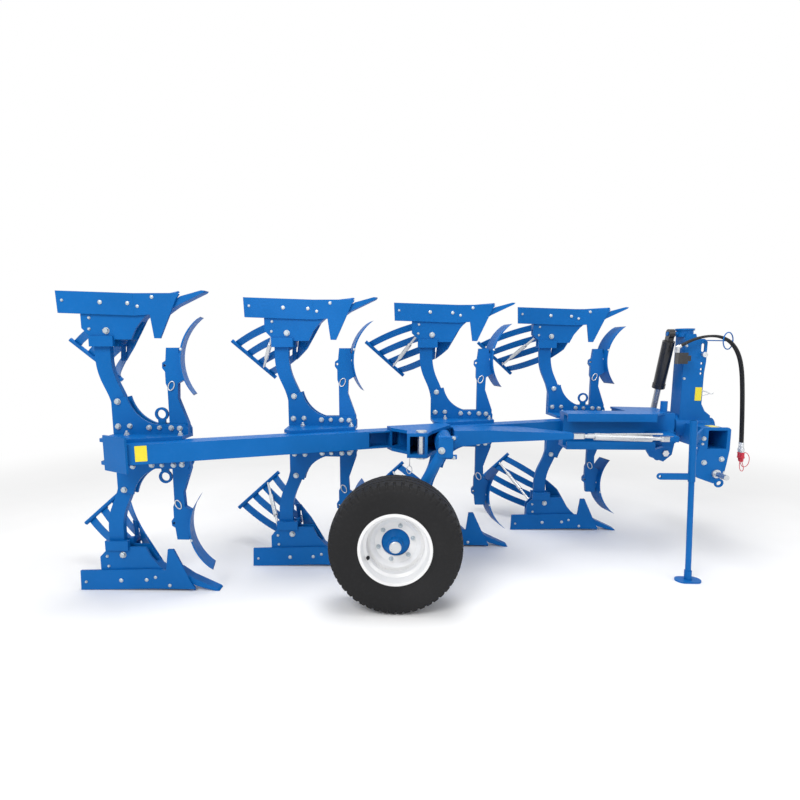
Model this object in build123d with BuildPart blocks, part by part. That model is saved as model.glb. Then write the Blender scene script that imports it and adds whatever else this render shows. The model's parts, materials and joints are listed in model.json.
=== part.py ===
from build123d import *
import os
from math import radians, sqrt, tan

os.makedirs("parts", exist_ok=True)

# Reversible four furrow plough, millimetres, X forward, Y to the left, Z up.
# The origin is on the ground under the middle of the plough.

# Overall places
origin_x = 1724
origin_y = 633
beam_height = 900
station_count = 4
station_pitch_x = 951
station_pitch_y = 389
rear_station = Vector(-origin_x, -origin_y, beam_height)
station_step = Vector(station_pitch_x, station_pitch_y, 0)
station_places = [rear_station + station_step * number for number in range(station_count)]
furrow_slope = station_pitch_y / station_pitch_x
diagonal_run = sqrt(station_pitch_x**2 + station_pitch_y**2)

# Leg bars, plates and landsides across the row line of a station
leg_thickness = 35
leg_near_y = -47
leg_far_y = leg_near_y + leg_thickness
plate_thickness = 15
frog_near_y = leg_near_y - plate_thickness
frog_far_y = leg_far_y + plate_thickness
landside_thickness = 14
landside_near_y = frog_near_y - landside_thickness
working_depth = 900
landside_height = 125
landside_rear_x = -315
landside_front_x = 133
landside_rise = 16

# Beam section
beam_width = 120
beam_depth = 110
beam_wall = 10
beam_near_y = -400
beam_rear_x = 170
beam_hinge_x = 1640
beam_front_x = 3300
flange_thickness = 20
flange_lap = 35
flange_top_z = beam_depth / 2 + flange_thickness
head_rear_x = -46
head_front_x = 402
head_top_z = 136

running_fit = 0.05

# Leg bar with its bend
leg_width = 92
leg_foot_x = 3
leg_head_x = -84
leg_bend_low = 250
leg_bend_high = 440
leg_top_z = 715
leg_bend_radius = 380
frog_bolt_x = -40

# Share, point and mouldboard
share_angle = 40
share_width = 128
share_thickness = 10
point_width = 62
slat_thickness = 8
slat_width = 50
slat_shares = (0.10, 0.37, 0.63, 0.90)
shin_run = 0.30
slat_start = 0.32
slat_bar_radius = 14


def to_plough(x, y, z):
    return Vector(x - origin_x, y - origin_y, z)


def beam_line_y(x, offset):
    return beam_near_y + furrow_slope * x + offset * diagonal_run / station_pitch_x


def at_all_stations(pattern):
    return Part() + [Location(place) * pattern for place in station_places]


def save(part, name):
    part.label = name
    export_step(part, "parts/" + name + ".step")


# Leg bars, bent back to carry the frog
with BuildPart() as leg_pattern:
    with BuildSketch(Plane.XZ.offset(-leg_far_y)):
        with BuildLine():
            rear_edge = FilletPolyline(
                (leg_foot_x - leg_width / 2, flange_top_z),
                (leg_foot_x - leg_width / 2, leg_bend_low),
                (leg_head_x - leg_width / 2, leg_bend_high),
                (leg_head_x - leg_width / 2, leg_top_z),
                radius=leg_bend_radius,
            )
            front_edge = FilletPolyline(
                (leg_foot_x + leg_width / 2, flange_top_z),
                (leg_foot_x + leg_width / 2, leg_bend_low),
                (leg_head_x + leg_width / 2, leg_bend_high),
                (leg_head_x + leg_width / 2, leg_top_z - 80),
                radius=leg_bend_radius,
            )
            Polyline(front_edge @ 1, (frog_bolt_x + 45, leg_top_z), rear_edge @ 1)
            Line(rear_edge @ 0, front_edge @ 0)
        make_face()
    extrude(amount=leg_thickness)

# Landside plates
with BuildPart() as landside_pattern:
    with BuildSketch(Plane.XZ.offset(-frog_near_y)):
        with BuildLine():
            Polyline(
                (landside_rear_x + 5, working_depth - landside_height),
                (landside_rear_x, working_depth),
                (landside_front_x, working_depth - landside_rise),
                (landside_front_x, working_depth - landside_rise - landside_height),
                close=True,
            )
        make_face()
    extrude(amount=landside_thickness)

# Knife plates in front of the landsides
with BuildPart() as knife_pattern:
    with BuildSketch(Plane.XZ.offset(-frog_near_y)):
        with BuildLine():
            Polyline(
                (landside_front_x, working_depth - landside_rise),
                (landside_front_x, working_depth - landside_rise - landside_height),
                (224, 765),
                (242, 632),
                (277, 631),
                (379, 852),
                (398, working_depth - landside_rise - 6),
                (388, working_depth - landside_rise),
                close=True,
            )
        make_face()
    extrude(amount=landside_thickness)

# Chisel points
with BuildPart() as point_pattern:
    with BuildSketch(Plane.XZ.offset(-frog_near_y)):
        with BuildLine():
            Polyline(
                (285, 779),
                (300, 762),
                (372, 812),
                (532, 887),
                (542, working_depth - 2),
                (520, working_depth),
                (400, 868),
                (345, 835),
                close=True,
            )
        make_face()
    extrude(amount=-point_width)

# Share plate lying on its cutting edge, cut off at the landside plane
share_edge_z = working_depth - 11
share_edge_front = Vector(400, frog_near_y, share_edge_z)
share_edge_rear = Vector(25, 320, share_edge_z)
share_edge = (share_edge_rear - share_edge_front).normalized()
share_rise = Vector(0, 0, -1).rotate(Axis((0, 0, 0), share_edge), 90 - share_angle)
share_back = share_edge.cross(share_rise)
share_plane = Plane(origin=share_edge_front, x_dir=share_edge, z_dir=share_back)
share_length = (share_edge_rear - share_edge_front).length
with BuildPart() as share_pattern:
    with BuildSketch(share_plane):
        with BuildLine():
            Polyline(
                (-200, 0),
                (share_length - 25, 0),
                (share_length, 25),
                (share_length - 40, share_width),
                (-200, share_width),
                close=True,
            )
        make_face()
    extrude(amount=share_thickness)
    split(bisect_by=Plane.XZ.offset(-frog_near_y), keep=Keep.BOTTOM)
    add(point_pattern.part, mode=Mode.SUBTRACT)

# Space in front of the share, kept free of the frog
with BuildPart() as share_clear:
    with BuildSketch(share_plane.offset(share_thickness)):
        with Locations((share_length / 2 - 60, 0)):
            Rectangle(share_length + 400, 2 * share_width)
    extrude(amount=-300)


# Mouldboard surface, drawn by one curve at its lower edge and one at its top
mould_low = (Vector(252, -14, 806), Vector(-110, 115, 862), Vector(-560, 400, 632))
mould_top = (Vector(92, -8, 592), Vector(-75, 80, 428), Vector(-262, 450, 377))


def curve_place(controls, run):
    start, middle, end = controls
    return start * (1 - run) ** 2 + middle * (2 * run * (1 - run)) + end * run**2


def curve_heading(controls, run):
    start, middle, end = controls
    return (middle - start) * (1 - run) + (end - middle) * run


def mould_place(run, share):
    return curve_place(mould_low, run) * (1 - share) + curve_place(mould_top, run) * share


def mould_plane(run, share):
    across = (curve_place(mould_top, run) - curve_place(mould_low, run)).normalized()
    low_heading = curve_heading(mould_low, run)
    top_heading = curve_heading(mould_top, run)
    heading = low_heading * (1 - share) + top_heading * share
    face = heading.cross(across).normalized()
    return Plane(origin=mould_place(run, share), x_dir=across, z_dir=across.cross(face))


def mould_span(run):
    return (curve_place(mould_top, run) - curve_place(mould_low, run)).length


# Shin plates at the front of the mouldboards
with BuildPart() as shin_pattern:
    for run in (0, shin_run / 2, shin_run):
        with BuildSketch(mould_plane(run, 0.5)):
            Rectangle(mould_span(run), slat_thickness)
    loft()
    split(bisect_by=Plane.XZ.offset(-frog_far_y - 2), keep=Keep.BOTTOM)
    add(share_pattern.part, mode=Mode.SUBTRACT)

# Slats of the mouldboards
slat_patterns = []
for share in slat_shares:
    with BuildPart() as slat_pattern:
        for run in (slat_start, 0.6, 1):
            with BuildSketch(mould_plane(run, share)):
                Rectangle(slat_width, slat_thickness)
        loft()
    slat_patterns.append(slat_pattern.part)
slat_group = Part() + slat_patterns

# Rear bars that tie the slat ends
bar_plane = mould_plane(0.985, 0.5)
bar_offset = slat_thickness / 2 + slat_bar_radius - 4
bar_side = -1 if bar_plane.y_dir.Y > 0 else 1
bar_shift = bar_plane.y_dir * (bar_side * bar_offset)
bar_low = mould_place(0.985, -0.02) + bar_shift
bar_top = mould_place(0.985, 1.03) + bar_shift
with BuildPart() as bar_pattern:
    with BuildSketch(Plane(origin=bar_low, z_dir=bar_top - bar_low)):
        Circle(slat_bar_radius)
    extrude(amount=(bar_top - bar_low).length)
    add(slat_group, mode=Mode.SUBTRACT)

# Front bars behind the slats and their lugs on the frog
front_plane = mould_plane(0.34, 0.5)
front_shift = front_plane.y_dir * (bar_side * bar_offset)
front_low = mould_place(0.34, 0.03) + front_shift
front_top = mould_place(0.34, 0.98) + front_shift
with BuildPart() as support_pattern:
    with BuildSketch(Plane(origin=front_low, z_dir=front_top - front_low)):
        Circle(slat_bar_radius)
    extrude(amount=(front_top - front_low).length)
    for reach in (0.22, 0.62):
        lug_place = front_low + (front_top - front_low) * reach
        with BuildSketch(Plane.XZ.offset(-frog_far_y)):
            with Locations((lug_place.X, lug_place.Z)):
                Circle(20)
        extrude(amount=-(lug_place.Y - frog_far_y))
    add(slat_group, mode=Mode.SUBTRACT)

# Frogs with the collar that clamps the leg
with BuildPart() as frog_pattern:
    with BuildSketch(Plane.XZ.offset(-frog_far_y)):
        with BuildLine():
            Polyline(
                (-188, 862),
                (-188, 690),
                (-142, 642),
                (-142, 625),
                (98, 625),
                (130, 688),
                (175, 742),
                (215, 777),
                (300, 862),
                close=True,
            )
        make_face()
    extrude(amount=frog_far_y - frog_near_y)
    with Locations((-73.5, (leg_near_y + leg_far_y) / 2, 615)):
        Box(141, leg_thickness + 2 * plate_thickness + 26, 60)
    with Locations((-15, (leg_near_y + leg_far_y) / 2, 652)):
        Box(420, leg_thickness, 150, mode=Mode.SUBTRACT)
    add(leg_pattern.part, mode=Mode.SUBTRACT)
    add(share_clear.part, mode=Mode.SUBTRACT)
    add(shin_pattern.part, mode=Mode.SUBTRACT)
    add(point_pattern.part, mode=Mode.SUBTRACT)
    add(landside_pattern.part, mode=Mode.SUBTRACT)

front_bars = support_pattern.part - frog_pattern.part

# Stay rods from the frog to the rear bar
stay_start = Vector(-150, frog_far_y - 3, 672)
stay_end = bar_low + (bar_top - bar_low) * 0.72
with BuildPart() as stay_pattern:
    with BuildSketch(Plane(origin=stay_start, z_dir=stay_end - stay_start)):
        Circle(9)
    extrude(amount=(stay_end - stay_start).length)
    middle = stay_start + (stay_end - stay_start) * 0.28
    with BuildSketch(Plane(origin=middle, z_dir=stay_end - stay_start)):
        Circle(15)
    extrude(amount=(stay_end - stay_start).length * 0.42)
    add(frog_pattern.part, mode=Mode.SUBTRACT)
    add(bar_pattern.part, mode=Mode.SUBTRACT)
    add(slat_group, mode=Mode.SUBTRACT)


# Heads with their side plates, flanges and lifting eyes
flange_near_rear = beam_line_y(20, beam_width) - flange_lap
flange_near_front = beam_line_y(head_front_x, beam_width) - flange_lap
with BuildPart() as head_pattern:
    with BuildSketch(Plane.XY.offset(beam_depth / 2)):
        with BuildLine():
            Polyline(
                (head_rear_x, frog_far_y),
                (head_front_x, frog_far_y),
                (head_front_x, flange_near_front),
                (20, flange_near_rear),
                (head_rear_x + 16, flange_near_rear + 44),
                close=True,
            )
        make_face()
    extrude(amount=flange_thickness)
    with BuildSketch(Plane.XZ.offset(-frog_far_y)):
        with BuildLine():
            Line((head_rear_x, flange_top_z), (head_rear_x, 264))
            Line((head_rear_x, 264), (-32, 276))
            Line((-32, 276), (46, 296))
            ThreePointArc((46, 296), (94, 199), (195, head_top_z - 2))
            Line((195, head_top_z - 2), (head_front_x - 16, head_top_z))
            Line((head_front_x - 16, head_top_z), (head_front_x, head_top_z - 30))
            Line((head_front_x, head_top_z - 30), (head_front_x, flange_top_z))
            Line((head_front_x, flange_top_z), (head_rear_x, flange_top_z))
        make_face()
    extrude(amount=frog_far_y - frog_near_y)
    with Locations((178, (leg_near_y + leg_far_y) / 2, 200)):
        Box(460, leg_thickness, 2 * (200 - flange_top_z), mode=Mode.SUBTRACT)

# Skimmer posts between the side plates, cut clear of the skimmer blades
blade_arc = ((520, 752), (392, 500), (458, 306))
with BuildPart() as blade_pattern:
    with BuildSketch(Plane.XZ.offset(86)):
        with BuildLine():
            ThreePointArc(*blade_arc)
            ThreePointArc((458, 306), (383, 500), (496, 738))
            Line((496, 738), blade_arc[0])
        make_face()
    extrude(amount=138, dir=Vector(-0.25, 0.968, 0).normalized())

with BuildPart() as post_pattern:
    with BuildSketch(Plane.XZ.offset(-leg_far_y)):
        with BuildLine():
            Polyline(
                (287, flange_top_z),
                (287, 350),
                (278, 372),
                (278, 440),
                (262, 462),
                (264, 492),
                (284, 505),
                (292, 579),
                (366, 579),
                (366, 545),
                (430, 545),
                (430, 420),
                (350, 372),
                (346, 284),
                (head_front_x - 4, head_top_z),
                (head_front_x - 4, flange_top_z),
                close=True,
            )
        make_face()
        with Locations((277, 476)):
            Circle(8, mode=Mode.SUBTRACT)
    extrude(amount=leg_thickness)
    add(blade_pattern.part, mode=Mode.SUBTRACT)
post_halves = post_pattern.part.solids().sort_by(Axis.X)
post_body = Part() + post_halves[0]

# Lifting eyes on the flanges of the first and last stations
eye_radius = 33
eye_place_x = 236
eye_place_z = 190
with BuildPart() as eye_pattern:
    with BuildSketch(Plane.XZ.offset(-leg_far_y + 10.5)):
        with Locations((eye_place_x, eye_place_z)):
            Circle(eye_radius + 7)
        with Locations((eye_place_x, (eye_place_z - eye_radius + flange_top_z) / 2)):
            Rectangle(44, eye_place_z - eye_radius - flange_top_z)
        with Locations((eye_place_x, eye_place_z)):
            Circle(eye_radius - 7, mode=Mode.SUBTRACT)
    extrude(amount=14)


def upper_and_lower(pattern):
    return Part() + [pattern, mirror(pattern, about=Plane.XY)]


stations_parts = {
    "legs": leg_pattern.part,
    "landsides": landside_pattern.part,
    "knife_plates": knife_pattern.part,
    "points": point_pattern.part,
    "shares": share_pattern.part,
    "shins": shin_pattern.part,
    "slats": slat_group,
    "slat_rear_bars": bar_pattern.part,
    "slat_front_bars": front_bars,
    "frogs": frog_pattern.part,
    "slat_stays": stay_pattern.part,
    "skimmer_posts": post_body,
    "skimmer_blades": blade_pattern.part,
}
for name, pattern in stations_parts.items():
    save(at_all_stations(upper_and_lower(pattern)), name)
eye_pair = upper_and_lower(eye_pattern.part)
lifting_eyes = Part() + [Location(station_places[number]) * eye_pair for number in (0, 3)]
save(lifting_eyes, "lifting_eyes")

# Main beam, a box section cut off aslant at the rear and open at the hinge
beam_plane = Plane.XY.offset(beam_height - beam_depth / 2)
cap_slope = -0.52
cap_far_x = 32
pocket_start_x = 1447
pocket_end_x = 1640


def beam_corner(x, offset):
    return (x - origin_x, beam_line_y(x, offset) - origin_y)


def beam_outline(inset, rear, front):
    return [
        beam_corner(rear[0], inset),
        beam_corner(front[0], inset),
        beam_corner(front[1], beam_width - inset),
        beam_corner(rear[1], beam_width - inset),
    ]


hinge_run = beam_width * station_pitch_y / diagonal_run
with BuildPart() as rear_beam:
    with BuildSketch(beam_plane):
        with BuildLine():
            Polyline(
                *beam_outline(0, (beam_rear_x, cap_far_x), (beam_hinge_x + hinge_run, beam_hinge_x)),
                close=True,
            )
        make_face()
    extrude(amount=beam_depth)
    with BuildSketch(beam_plane.offset(beam_wall)):
        with BuildLine():
            Polyline(
                *beam_outline(beam_wall, (beam_rear_x - 30, cap_far_x - 30), (1400, 1400)),
                close=True,
            )
        make_face()
    extrude(amount=beam_depth - 2 * beam_wall, mode=Mode.SUBTRACT)
    with BuildSketch(beam_plane.offset(beam_wall)):
        with BuildLine():
            Polyline(
                beam_corner(pocket_start_x, -5),
                beam_corner(pocket_end_x, -5),
                beam_corner(pocket_end_x - 30, 80),
                beam_corner(pocket_start_x, 80),
                close=True,
            )
        make_face()
    extrude(amount=beam_depth - 2 * beam_wall, mode=Mode.SUBTRACT)
    with BuildSketch(beam_plane):
        with BuildLine():
            Polyline(
                beam_corner(1580, 0),
                beam_corner(1592, 0),
                beam_corner(1562, 90),
                beam_corner(1550, 90),
                close=True,
            )
        make_face()
    extrude(amount=beam_depth)
save(rear_beam.part, "rear_beam")

# Plate that closes the rear end of the beam
cap_height = 198
cap_thickness = 12
cap_near = beam_corner(beam_rear_x, 0)
cap_far = beam_corner(cap_far_x, beam_width)
cap_heading = (Vector(*cap_far) - Vector(*cap_near)).normalized()
cap_out = Vector(cap_heading.Y, -cap_heading.X, 0)
cap_out = cap_out if cap_out.Y < 0 else -cap_out
cap_start = Vector(*cap_near) - cap_heading * 22
cap_end = Vector(*cap_far) + cap_heading * 22
with BuildPart() as beam_end_plate:
    with BuildSketch(Plane.XY.offset(beam_height - cap_height / 2)):
        with BuildLine():
            Polyline(
                tuple(cap_start)[:2],
                tuple(cap_end)[:2],
                tuple(cap_end + cap_out * cap_thickness)[:2],
                tuple(cap_start + cap_out * cap_thickness)[:2],
                close=True,
            )
        make_face()
    extrude(amount=cap_height)
save(beam_end_plate.part, "beam_end_plate")
with BuildPart() as space_behind:
    with BuildSketch(Plane.XY.offset(beam_height - cap_height / 2)):
        with BuildLine():
            Polyline(
                tuple(cap_start - cap_heading * 60)[:2],
                tuple(cap_end + cap_heading * 60)[:2],
                tuple(cap_end + cap_heading * 60 + cap_out * 160)[:2],
                tuple(cap_start - cap_heading * 60 + cap_out * 160)[:2],
                close=True,
            )
        make_face()
    extrude(amount=cap_height)
heads = at_all_stations(upper_and_lower(head_pattern.part)) - space_behind.part
save(heads, "heads")

# Front part of the main beam
with BuildPart() as front_beam:
    with BuildSketch(beam_plane):
        with BuildLine():
            Polyline(
                beam_corner(beam_hinge_x + hinge_run, 0),
                beam_corner(beam_front_x, 0),
                beam_corner(beam_front_x, beam_width),
                beam_corner(beam_hinge_x, beam_width),
                close=True,
            )
        make_face()
    extrude(amount=beam_depth)
    with BuildSketch(beam_plane.offset(beam_wall)):
        with BuildLine():
            Polyline(
                *beam_outline(beam_wall, (2120, 2075), (beam_front_x + 20, beam_front_x + 20)),
                close=True,
            )
        make_face()
    extrude(amount=beam_depth - 2 * beam_wall, mode=Mode.SUBTRACT)
    with BuildSketch(beam_plane.offset(beam_wall)):
        with BuildLine():
            Polyline(
                beam_corner(1985, -5),
                beam_corner(2085, -5),
                beam_corner(2050, 80),
                beam_corner(1950, 80),
                close=True,
            )
        make_face()
    extrude(amount=beam_depth - 2 * beam_wall, mode=Mode.SUBTRACT)
save(front_beam.part, "front_beam")

# Upright hinge pin of the wheel bracket
with BuildPart() as hinge_pin:
    with Locations(to_plough(1775, 62, beam_height)):
        Cylinder(24, 2 * flange_top_z)
    for side in (1, -1):
        with Locations(to_plough(1775, 62, beam_height + side * (flange_top_z + 5))):
            Cylinder(34, 10)
save(hinge_pin.part, "hinge_pin")

# Wheel bracket on the hinge of the beam
bracket_near_y = 20
bracket_rear_x = 1688
bracket_front_x = 1812
pivot_x = 1915
pivot_radius = 20
with BuildPart() as wheel_bracket:
    for low_z in (beam_depth / 2, -flange_top_z):
        with BuildSketch(Plane.XY.offset(beam_height + low_z)):
            with BuildLine():
                Polyline(
                    (bracket_rear_x - origin_x, bracket_near_y - origin_y),
                    (bracket_front_x - origin_x, bracket_near_y - origin_y),
                    (bracket_front_x + 30 - origin_x, 120 - origin_y),
                    (1975 - origin_x, beam_line_y(1975, -20) - origin_y),
                    beam_corner(1945, 75),
                    beam_corner(1555, 75),
                    (1590 - origin_x, beam_line_y(1590, -16) - origin_y),
                    (bracket_rear_x - origin_x, 130 - origin_y),
                    close=True,
                )
            make_face()
        extrude(amount=flange_thickness)
    for wall_x in (bracket_rear_x + 9, bracket_front_x - 9):
        with Locations(to_plough(wall_x, bracket_near_y + 60, beam_height)):
            Box(18, 120, beam_depth)
    for wall_x in (bracket_rear_x + 9, bracket_front_x - 9):
        with Locations(to_plough(wall_x, (bracket_near_y + 290) / 2, beam_height)):
            Box(14, 290 - bracket_near_y, beam_depth)
    with BuildSketch(Plane.XZ.offset(origin_y - 36)):
        with Locations((pivot_x - origin_x, beam_height)):
            Circle(58)
            Circle(pivot_radius + running_fit, mode=Mode.SUBTRACT)
    extrude(amount=-400)
    add(hinge_pin.part, mode=Mode.SUBTRACT)
    add(rear_beam.part, mode=Mode.SUBTRACT)
    add(front_beam.part, mode=Mode.SUBTRACT)
save(Part() + wheel_bracket.part.solids().sort_by(SortBy.VOLUME)[-1], "wheel_bracket")

# Depth wheel, its arm and its pivot
tyre_radius = 380
tyre_width = 264
wheel_x = 1628
wheel_y = -202
wheel_z = tyre_radius
arm_y = -20
arm_radius = 32
axle_radius = 25
with BuildPart() as wheel_arm:
    arm_top = to_plough(pivot_x, arm_y, beam_height)
    arm_foot = to_plough(wheel_x, arm_y, wheel_z)
    with BuildSketch(Plane(origin=arm_foot, z_dir=arm_top - arm_foot)):
        Circle(arm_radius)
    extrude(amount=(arm_top - arm_foot).length)
    with BuildSketch(Plane.XZ.offset(origin_y - 30)):
        with Locations((pivot_x - origin_x, beam_height)):
            Circle(50)
    extrude(amount=40)
    with Locations(to_plough(pivot_x, arm_y - 2, beam_height)):
        Box(86, 66, 112)
    with BuildSketch(Plane.XZ.offset(origin_y - 14)):
        with Locations((wheel_x - origin_x, wheel_z)):
            Circle(48)
    extrude(amount=60)
    with BuildSketch(Plane.XZ.offset(origin_y - 30)):
        with Locations((pivot_x - origin_x, beam_height)):
            Circle(pivot_radius)
    extrude(amount=-300)
    for side in (1, -1):
        with Locations(Location(to_plough(pivot_x + 12, arm_y - 8, beam_height + side * 56), (0, 90, 0))):
            Cylinder(14, 110)
    with BuildSketch(Plane.XZ.offset(origin_y + 30)):
        with Locations((wheel_x - origin_x, wheel_z)):
            Circle(axle_radius)
    extrude(amount=230)
save(wheel_arm.part, "wheel_arm")

hub_disc_y = -187
hub_radius = 81
rim_flange_radius = 213
rim_seat_radius = 194
rim_near_y = -318
rim_far_y = -86
wheel_axis = Axis(to_plough(wheel_x, 0, wheel_z), (0, 1, 0))
wheel_plane = Plane(origin=to_plough(wheel_x, 0, wheel_z), x_dir=(0, 1, 0), z_dir=(1, 0, 0))
with BuildPart() as wheel_hub:
    with BuildSketch(wheel_plane):
        with BuildLine():
            Polyline(
                (-80, axle_radius + running_fit),
                (-80, 60),
                (-170, 60),
                (-175, hub_radius + 34),
                (hub_disc_y, hub_radius + 34),
                (hub_disc_y, hub_radius),
                (hub_disc_y - 6, hub_radius - 6),
                (hub_disc_y - 30, 44),
                (-262, 40),
                (-266, 34),
                (-276, 30),
                (-276, 0),
                (-261, 0),
                (-261, axle_radius + running_fit),
                close=True,
            )
        make_face()
    revolve(axis=wheel_axis)
save(wheel_hub.part, "wheel_hub")

with BuildPart() as wheel_rim:
    with BuildSketch(wheel_plane):
        with BuildLine():
            Polyline(
                (rim_near_y, rim_flange_radius),
                (rim_near_y + 5, rim_flange_radius),
                (rim_near_y + 9, rim_seat_radius),
                (-262, rim_seat_radius - 6),
                (-250, 172),
                (-160, 172),
                (-146, rim_seat_radius - 6),
                (rim_far_y - 9, rim_seat_radius),
                (rim_far_y - 5, rim_flange_radius),
                (rim_far_y, rim_flange_radius),
                (rim_far_y, rim_seat_radius - 4),
                (-142, rim_seat_radius - 14),
                (-152, 164),
                (-198, 164),
                (-206, 140),
                (hub_disc_y, 116),
                (hub_disc_y, hub_radius + 0.3),
                (hub_disc_y - 8, hub_radius + 0.3),
                (hub_disc_y - 8, 120),
                (-215, 144),
                (-208, 164),
                (-256, 164),
                (-267, rim_seat_radius - 14),
                (rim_near_y, rim_seat_radius - 4),
                close=True,
            )
        make_face()
    revolve(axis=wheel_axis)
save(wheel_rim.part, "wheel_rim")

bead = 0.3
with BuildPart() as tyre:
    with BuildSketch(wheel_plane):
        with BuildLine():
            Line((-300, rim_seat_radius + bead), (-308, rim_flange_radius + bead))
            ThreePointArc((-308, rim_flange_radius + bead), (wheel_y - 132, 290), (wheel_y - 112, 352))
            ThreePointArc((wheel_y - 112, 352), (wheel_y - 100, 366), (wheel_y - 82, 373))
            ThreePointArc((wheel_y - 82, 373), (wheel_y, tyre_radius), (wheel_y + 82, 373))
            ThreePointArc((wheel_y + 82, 373), (wheel_y + 100, 366), (wheel_y + 112, 352))
            ThreePointArc((wheel_y + 112, 352), (wheel_y + 132, 290), (-96, rim_flange_radius + bead))
            Polyline(
                (-96, rim_flange_radius + bead),
                (-104, rim_seat_radius + bead),
                (-146, rim_seat_radius - 6 + bead),
                (-146, 212),
                (-110, 290),
                (-120, 345),
                (-284, 345),
                (-294, 290),
                (-262, 212),
                (-262, rim_seat_radius - 6 + bead),
                (-300, rim_seat_radius + bead),
            )
        make_face()
    revolve(axis=wheel_axis)
save(tyre.part, "tyre")

# Turnbuckle that sets the swing of the beam
link_start = to_plough(2790, 415, beam_height + 1)
link_end = to_plough(3470, 470, beam_height - 26)
link_heading = (link_end - link_start).normalized()
link_length = (link_end - link_start).length
with BuildPart() as turnbuckle:
    with BuildSketch(Plane(origin=link_start, z_dir=link_heading)):
        Circle(13)
    extrude(amount=link_length)
    with BuildSketch(Plane(origin=link_start + link_heading * 150, z_dir=link_heading)):
        Circle(24)
    extrude(amount=link_length - 290)
    for place in (link_start + link_heading * 38, link_end - link_heading * 34):
        with BuildSketch(Plane(origin=place, x_dir=link_heading, z_dir=(0, 0, 1))):
            SlotOverall(92, 44)
        extrude(amount=17, both=True)
save(turnbuckle.part, "turnbuckle")

# Arm on the beam that the turnbuckle pulls
with BuildPart() as steering_arm:
    with BuildSketch(Plane.XY.offset(beam_height - 60)):
        with BuildLine():
            Polyline(
                (1990 - origin_x, 250 - origin_y),
                (2790 - origin_x, 385 - origin_y),
                (2790 - origin_x, 445 - origin_y),
                beam_corner(2400, 20),
                beam_corner(1990, 20),
                close=True,
            )
        make_face()
    extrude(amount=120)
    with BuildSketch(Plane.XZ):
        with BuildLine():
            Polyline(
                (1950 - origin_x, beam_height - 58),
                (2240 - origin_x, beam_height - 26),
                (2830 - origin_x, beam_height - 16),
                (2830 - origin_x, beam_height + 18),
                (2240 - origin_x, beam_height + 52),
                (1950 - origin_x, beam_height + 56),
                close=True,
            )
        make_face()
    extrude(amount=1200, both=True, mode=Mode.INTERSECT)
    add(front_beam.part, mode=Mode.SUBTRACT)
    add(wheel_bracket.part, mode=Mode.SUBTRACT)
    add(turnbuckle.part, mode=Mode.SUBTRACT)
save(Part() + steering_arm.part.solids().sort_by(SortBy.VOLUME)[-1], "steering_arm")

# Carrier that turns over with the plough in front of the beam
axis_y = 950
shaft_radius = 60
shaft_rear_x = 3680
web_top_z = 860
web_depth = 82
web_width = 200
carrier_top_z = 127
carrier_front_x = 3600
carrier_near_y = 600
with BuildPart() as carrier:
    for low_z in (carrier_top_z - plate_thickness, -carrier_top_z):
        with BuildSketch(Plane.XY.offset(beam_height + low_z)):
            with BuildLine():
                Polyline(
                    (2812 - origin_x, carrier_near_y - origin_y),
                    (3430 - origin_x, carrier_near_y - origin_y),
                    (carrier_front_x - origin_x, 770 - origin_y),
                    (carrier_front_x - origin_x, 1035 - origin_y),
                    (3330 - origin_x, 1088 - origin_y),
                    (3290 - origin_x, 1088 - origin_y),
                    (3290 - origin_x, 800 - origin_y),
                    (2812 - origin_x, 800 - origin_y),
                    close=True,
                )
            make_face()
        extrude(amount=plate_thickness)
    for side in (1, -1):
        with Locations(to_plough(3121, carrier_near_y + 7, beam_height + side * 98)):
            Box(618, 14, 54)
    with Locations(to_plough(3206, 710, beam_height)):
        Box(788, 20, 2 * carrier_top_z - 10)
    with Locations(to_plough(2822, 745, beam_height)):
        Box(20, 90, 2 * carrier_top_z - 10)
    with Locations(to_plough(3311, 894, beam_height)):
        Box(20, 388, 2 * carrier_top_z - 10)
    with BuildSketch(Plane.XY.offset(beam_height - carrier_top_z + 5)):
        with BuildLine():
            Polyline(
                (3440 - origin_x, 800 - origin_y),
                (carrier_front_x - origin_x, 850 - origin_y),
                (carrier_front_x - origin_x, 1035 - origin_y),
                (3440 - origin_x, 1062 - origin_y),
                close=True,
            )
        make_face()
    extrude(amount=2 * carrier_top_z - 10)
    add(front_beam.part, mode=Mode.SUBTRACT)
    with BuildSketch(Plane.YZ.offset(shaft_rear_x - origin_x)):
        with Locations((axis_y - origin_y, beam_height)):
            Circle(shaft_radius)
    extrude(amount=4000 - shaft_rear_x)
    with BuildSketch(Plane.YZ.offset(shaft_rear_x - origin_x)):
        with Locations((axis_y - origin_y, beam_height)):
            Circle(shaft_radius + 15)
    extrude(amount=18)
    with Locations(to_plough(3644, axis_y, web_top_z - web_depth / 2)):
        Box(108, web_width, web_depth)
    with BuildSketch(Plane.YZ.offset(3584 - origin_x)):
        with BuildLine():
            Polyline(
                (1000 - origin_y, 860),
                (1150 - origin_y, 890),
                (1186 - origin_y, 930),
                (1150 - origin_y, 970),
                (1000 - origin_y, 990),
                close=True,
            )
        make_face()
    extrude(amount=16)
    with Locations(to_plough(3545, 758, beam_height + carrier_top_z + 38)):
        Cylinder(24, 76)
    with BuildSketch(Plane.XY.offset(beam_height - 44)):
        with BuildLine():
            Polyline(
                (3400 - origin_x, 700 - origin_y),
                (3448 - origin_x, 446 - origin_y),
                (3510 - origin_x, 446 - origin_y),
                (3560 - origin_x, 700 - origin_y),
                (3560 - origin_x, 760 - origin_y),
                (3400 - origin_x, 760 - origin_y),
                close=True,
            )
        make_face()
    extrude(amount=36)
    add(turnbuckle.part, mode=Mode.SUBTRACT)
head_clear = Part() + [Location(place) * upper_and_lower(head_pattern.part) for place in station_places[-1:]]
carrier_part = carrier.part - head_clear
save(Part() + carrier_part.solids().sort_by(SortBy.VOLUME)[-1], "carrier")

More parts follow.
